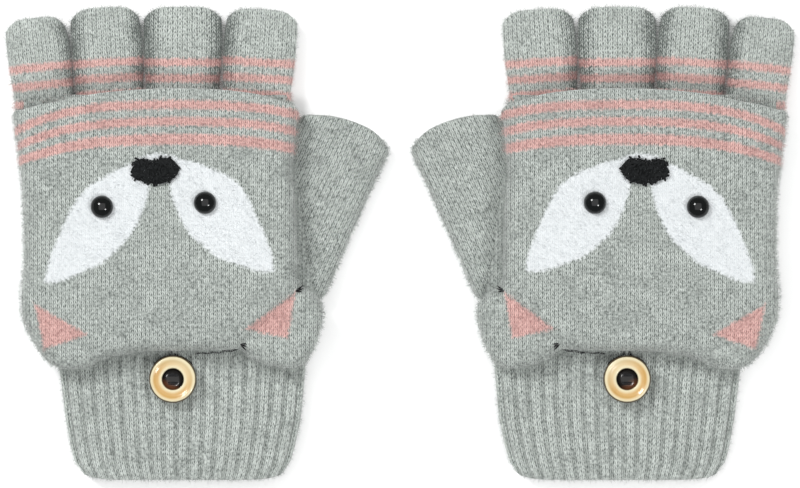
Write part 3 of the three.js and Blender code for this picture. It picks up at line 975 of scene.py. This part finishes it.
def makeThumb(side):
    outline = rounded(thumb["outline"], 3)
    (ax, ay), (bx, by) = thumb["rim"]

    def isOpen(x, y):
        beyondRim = (x - ax) * (by - ay) - (y - ay) * (bx - ax) < 75
        return thumb["mouthFrom"] < x < thumb["mouthEnd"] and beyondRim

    def swell(plan):
        return roundEdge(outlineDistance(plan, outline, isOpen), thumb["edge"])

    middle = (thumb["low"] + thumb["top"]) / 2

    def top(plan):
        uneven = smoothNoise(plan, 21, 5) * 0.2
        return middle + (thumb["top"] - middle) * swell(plan) * (0.97 + 0.03 * uneven)

    def bottom(plan):
        return middle - (middle - thumb["low"]) * swell(plan)

    bm, tag = clothEnvelope(outline, isOpen, thumb["step"], top, bottom)
    sx, sy = thumb["axis"]

    def place(one, loop):
        x, y = loop.vert.co.x, loop.vert.co.y
        return x * sy - y * sx, x * sx + y * sy - thumb["underShift"] * one[tag]

    setMap(bm, place)
    piece = finishMesh(f"{side}ThumbKnit", placed(bm, side), "thumb", [walled(thumb["wall"]), subdivide])
    fuzz = growFuzz(f"{side}ThumbFuzz", piece, "thumb", 3.3, 41)
    for item in (piece, fuzz):
        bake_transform(item)
    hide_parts(f"{side}_thumb")


fingers = {
    # left and right edges at the knuckles, where the tube leaves the hand and at the tip; look is a finish
    "little": {"look": "little", "root": (-46.4, -26.7), "base": (-46.9, -27.4), "tip": (-49.7, -30.2),
               "tipY": 74.6},
    "ring": {"look": "ring", "root": (-27.0, -4.2), "base": (-26.4, -4.6), "tip": (-28.4, -6.0),
             "tipY": 78.0},
    "middle": {"look": "ring", "root": (-4.6, 20.9), "base": (-3.6, 20.2), "tip": (-4.3, 21.1),
               "tipY": 78.2},
    "index": {"look": "index", "root": (20.5, 44.6), "base": (21.5, 43.6), "tip": (22.8, 45.9),
              "tipY": 77.4},
}
fingerShape = {
    "low": 2.6, "high": 9.6, "start": 45.0, "baseY": 50.5, "split": 56.0, "wall": 1.4, "spokes": 96,
    "rootSection": 3.6, "section": 2.0, "deepSection": 2.6,  # from nearly a box to an oval
    "belly": 0.65, "tipArch": 3.4,
    "blend": (48.0, 55.6), "blendZ": 9.5, "keepWidth": 0.9, "squeezeTo": 23.0,
}


def fingerRings(finger):
    # From the knuckles to the open end and back down the inside.
    shape = fingerShape
    middleZ = (shape["low"] + shape["high"]) / 2
    tall = (shape["high"] - shape["low"]) / 2
    (r0, r1), (b0, b1), (t0, t1) = finger["root"], finger["base"], finger["tip"]
    tipY = finger["tipY"]

    def ring(y, inset, v, square):
        if y < shape["baseY"]:
            s = eased((y - shape["start"]) / (shape["baseY"] - shape["start"]))
            left, right = r0 + (b0 - r0) * s, r1 + (b1 - r1) * s
        else:
            s = (y - shape["baseY"]) / (tipY - shape["baseY"])
            belly = shape["belly"] * math.sin(math.pi * s)
            left, right = b0 + (t0 - b0) * s - belly, b1 + (t1 - b1) * s + belly
        lean = (t0 + t1 - b0 - b1) / 2 / (tipY - shape["baseY"])
        half = (right - left) / 2 - inset
        x, z = flatRing(shape["spokes"], half, tall - inset, square)
        centre = (left + right) / 2
        arch = eased((y - tipY + 10) / 10, shape["tipArch"])
        points = [Vector((centre + dx, y - dx * lean * 0.9 - arch * abs(dx / half) ** 5, middleZ + dz))
                  for dx, dz in zip(x, z)]
        return points, (yarn["fingerRound"], v)

    outside = []
    ys = list(np.arange(shape["start"], shape["split"], 1.4)) + [shape["split"]]
    split = len(ys) - 1
    ys += list(np.arange(shape["split"] + 1.2, tipY - 1.4, 1.2))
    for y in ys:
        boxy = shape["rootSection"] - shape["section"]
        square = shape["rootSection"] - boxy * min(1.0, max(0.0, (y - shape["start"]) / 9))
        outside.append(ring(y, 0.0, y, square))
    hem = [ring(tipY - 0.95 + 0.95 * math.sin(a), 0.75 - 0.75 * math.cos(a), v + a, shape["section"])
           for v, turn in ((tipY - 0.95, np.linspace(0.15, math.pi / 2, 5)),
                           (tipY, np.linspace(math.pi / 2 + 0.35, math.pi - 0.1, 4))) for a in turn]
    inside = [ring(y, shape["wall"], tipY + 3 + (tipY - y), shape["section"])
              for y in np.linspace(tipY - 3, shape["split"] + 0.3, 9)]
    deep = [ring(y, shape["wall"], tipY + 3 + (tipY - y), shape["deepSection"])
            for y in np.linspace(shape["split"], shape["start"] + 1, 6)]
    return outside[:split + 1] + deep, outside[split:] + hem + inside + deep[:1]


def makeFinger(side, name):
    finger = fingers[name]
    look = finger["look"]
    rootRings, tubeRings = fingerRings(finger)
    for part, rings in (("Root", rootRings), ("Tube", tubeRings)):
        bm = loftTube(rings)
        piece = finishMesh(f"{side}{name.title()}{part}", placed(bm, side), look)
        piece.data.normals_split_custom_set_from_vertices(outwardNormals(piece))
        fuzz = growFuzz(f"{side}{name.title()}{part}Fuzz", piece, look, 3.8, 51 + len(name),
                        keep=outerOnly(side, finger))
        for item in (piece, fuzz):
            if part == "Root":
                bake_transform(item)
            else:
                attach(item, f"{side}_{name}")
                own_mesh(item)
        if part == "Tube":
            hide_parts(f"{side}_{name}_finger")


def fingerCentre(side, finger, y):
    (b0, b1), (t0, t1) = finger["base"], finger["tip"]
    s = (y / mm - fingerShape["baseY"]) / (finger["tipY"] - fingerShape["baseY"])
    x = ((b0 + b1) + ((t0 + t1) - (b0 + b1)) * np.maximum(s, 0)) / 2 - pair["middle"]
    return (x if side == "left" else -x) * mm


def outerOnly(side, finger):
    def keep(centres, normals):
        dx = centres[:, 0] - fingerCentre(side, finger, centres[:, 1])
        dz = centres[:, 2] - (fingerShape["low"] + fingerShape["high"]) / 2 * mm
        return ((dx * normals[:, 0] + dz * normals[:, 2] > -1e-5) | (normals[:, 1] > 0.5)).astype(float)
    return keep


def outwardNormals(piece):
    # Shading across the join between root and tube ignores the join's own end faces.
    mesh = piece.data
    total = np.zeros((len(mesh.vertices), 3))
    for polygon in mesh.polygons:
        if abs(polygon.normal.y) > 0.9 and polygon.center.y < 60 * mm:
            continue
        for index in polygon.vertices:
            total[index] += np.array(polygon.normal) * polygon.area
    total[np.linalg.norm(total, axis=1) < 1e-14] = (0, 0, 1)
    total = total / np.maximum(np.linalg.norm(total, axis=1), 1e-12)[:, None]
    flat = np.array([abs(v.co.y - fingerShape["split"] * mm) < 1.2 * mm for v in mesh.vertices])
    total[flat, 1] *= 0.2
    total = total / np.maximum(np.linalg.norm(total, axis=1), 1e-12)[:, None]
    return [tuple(n) for n in total]


cuff = {
    # y, left edge, right edge
    "edges": [(-30.5, -32.8, 48.8), (-36.0, -32.3, 48.5), (-41.4, -31.9, 48.5), (-56.7, -30.0, 47.0),
              (-66.0, -28.3, 45.0), (-72.0, -26.8, 43.3), (-75.0, -25.0, 41.8), (-77.0, -24.2, 41.0)],
    "top": -30.5, "hem": -76.6, "low": 0.15, "high": 9.9, "square": 3.4, "wall": 1.7,
    "ribs": 37, "perRib": 10, "ribDepth": 1.05,
    "cornersFrom": -67.6, "cornerLift": 2.0,  # the corners of the hem are rounded
}


def makeCuff(side):
    ribs, count = cuff["ribs"], cuff["ribs"] * cuff["perRib"]
    ys, lefts, rights = zip(*cuff["edges"])
    ys, lefts, rights = ys[::-1], lefts[::-1], rights[::-1]
    middleZ, tall = (cuff["low"] + cuff["high"]) / 2, (cuff["high"] - cuff["low"]) / 2

    def ring(y, inset, v, ribbed):
        left, right = np.interp(y, ys, lefts), np.interp(y, ys, rights)
        half = (right - left) / 2
        x, z = flatRing(count, half - inset, tall - inset, cuff["square"])
        dx, dz = np.roll(x, -1) - np.roll(x, 1), np.roll(z, -1) - np.roll(z, 1)
        length = np.hypot(dx, dz)
        outX, outZ = dz / length, -dx / length
        phase = np.abs(((np.arange(count) / cuff["perRib"]) % 1) - 0.5) * 2
        drop = cuff["ribDepth"] * np.exp(-((1 - phase) / 0.30) ** 2) * ribbed
        lift = eased((cuff["cornersFrom"] - y) / 9, cuff["cornerLift"]) * np.abs(x / half) ** 8
        points = [Vector(((left + right) / 2 + a - n * d, y + up, middleZ + b - m * d))
                  for a, b, n, m, d, up in zip(x, z, outX, outZ, drop, lift)]
        return points, (ribs * yarn["rib"], v)

    hemY = cuff["hem"]
    outside = [ring(y, 0.0, y, 1.0) for y in np.linspace(cuff["top"], hemY + 1.3, 34)]
    hem = [ring(hemY + 0.9 - 0.9 * math.sin(a), 0.85 - 0.85 * math.cos(a), hemY - a, 1.0)
           for a in np.linspace(0.3, math.pi / 2, 5)]
    hem += [ring(hemY + 0.9 - 0.9 * math.sin(a), 0.85 - 0.85 * math.cos(a), hemY - a, 0.6)
            for a in np.linspace(math.pi / 2 + 0.35, math.pi - 0.1, 4)]
    inside = [ring(y, cuff["wall"], hemY - 4 - (y - hemY), 0.5)
              for y in np.linspace(hemY + 2.5, cuff["top"], 10)]
    bm = loftTube(outside + hem + inside)
    piece = finishMesh(f"{side}CuffRib", placed(bm, side), "cuff")
    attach(piece, f"{side}_glove")
    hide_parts(f"{side}_cuff")
    fuzz = growFuzz(f"{side}CuffFuzz", piece, "cuff", 2.8, 61)
    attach(fuzz, f"{side}_glove")


capSeam = {"left": -40.5, "right": 41.5, "y": 46.0, "z": 11.1, "turns": 34, "wind": 0.45, "radius": 0.42}


def makeCapSeam(side):
    # Overcast yarn on the line where the cap joins the back of the hand.
    width, wind, turns = capSeam["right"] - capSeam["left"], capSeam["wind"], capSeam["turns"]
    path = [(capSeam["left"] + width * t, capSeam["y"] + wind * math.cos(6.283 * turns * t),
             capSeam["z"] + wind * math.sin(6.283 * turns * t)) for t in np.linspace(0, 1, turns * 8)]
    piece = finishMesh(f"{side}CapSeam", placed(cordAlong(path, capSeam["radius"], 6), side), "greyThread")
    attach(piece, f"{side}_glove")
    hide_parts(f"{side}_cap_seam")


for side in ("left", "right"):
    makeCap(side)
    print(side, "cap made")
    for corner in eye["places"]:
        makeEye(side, corner)
        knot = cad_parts[f"{side}_eye_knot_{corner}_side"]
        knot.data.materials.clear()
        knot.data.materials.append(finishes["darkThread"])
    makeNose(side)
    makeEarSeams(side)
    makeButton(side)
    makeLoop(side)
    print(side, "face, button and loop made")
    makeHand(side)
    makeThumb(side)
    for name in fingers:
        makeFinger(side, name)
    makeCuff(side)
    makeCapSeam(side)
    print(side, "glove made")

stage = {"frameWide": 260.8, "away": 2.2, "planeHeight": 0.016, "middleY": 0.0006,
         "floorSize": 3.0, "floorZ": -0.0022}  # the fibres under the palms stand on the floor

floorMesh = bmesh.new()
bmesh.ops.create_grid(floorMesh, x_segments=2, y_segments=2, size=stage["floorSize"],
                      matrix=Matrix.Translation((0, 0, stage["floorZ"])))
floorData = bpy.data.meshes.new("paleFloor")
floorMesh.to_mesh(floorData)
floorMesh.free()
floor = bpy.data.objects.new("paleFloor", floorData)
bpy.context.scene.collection.objects.link(floor)
white = (1, 1, 1, 1)
floorData.materials.append(Graph("paleFloor").finish({
    "Base Color": (0.93, 0.93, 0.93, 1), "Roughness": 0.9, "Specular IOR Level": 0.1,
    "Emission Color": white, "Emission Strength": 0.16}))

camera = bpy.data.objects.new("camera", bpy.data.cameras.new("camera"))
bpy.context.scene.collection.objects.link(camera)
camera.data.sensor_width = 36.0
camera.data.lens = 36.0 * stage["away"] / (stage["frameWide"] * mm)
camera.location = (0, stage["middleY"], stage["away"] + stage["planeHeight"])
camera.data.clip_end = 20
bpy.context.scene.camera = camera

lights = {"key": ((-0.66, 0.60, 1.10), 0.34, 11.5), "fill": ((0.70, -0.55, 1.10), 0.26, 6.5),
          "top": ((0.0, 0.10, 2.8), 3.4, 50.0)}
for name, (where, size, power) in lights.items():
    data = bpy.data.lights.new(name, "AREA")
    data.size, data.energy = size, power
    lamp = bpy.data.objects.new(name, data)
    lamp.location = where
    lamp.rotation_euler = (-Vector(where)).to_track_quat("-Z", "Y").to_euler()
    bpy.context.scene.collection.objects.link(lamp)

world = bpy.data.worlds.new("studio")
bpy.context.scene.world = world
world.use_nodes = True
background = world.node_tree.nodes["Background"]
background.inputs["Color"].default_value = white
background.inputs["Strength"].default_value = 0.30
bpy.context.scene.view_settings.view_transform = "Standard"
print("stage ready")
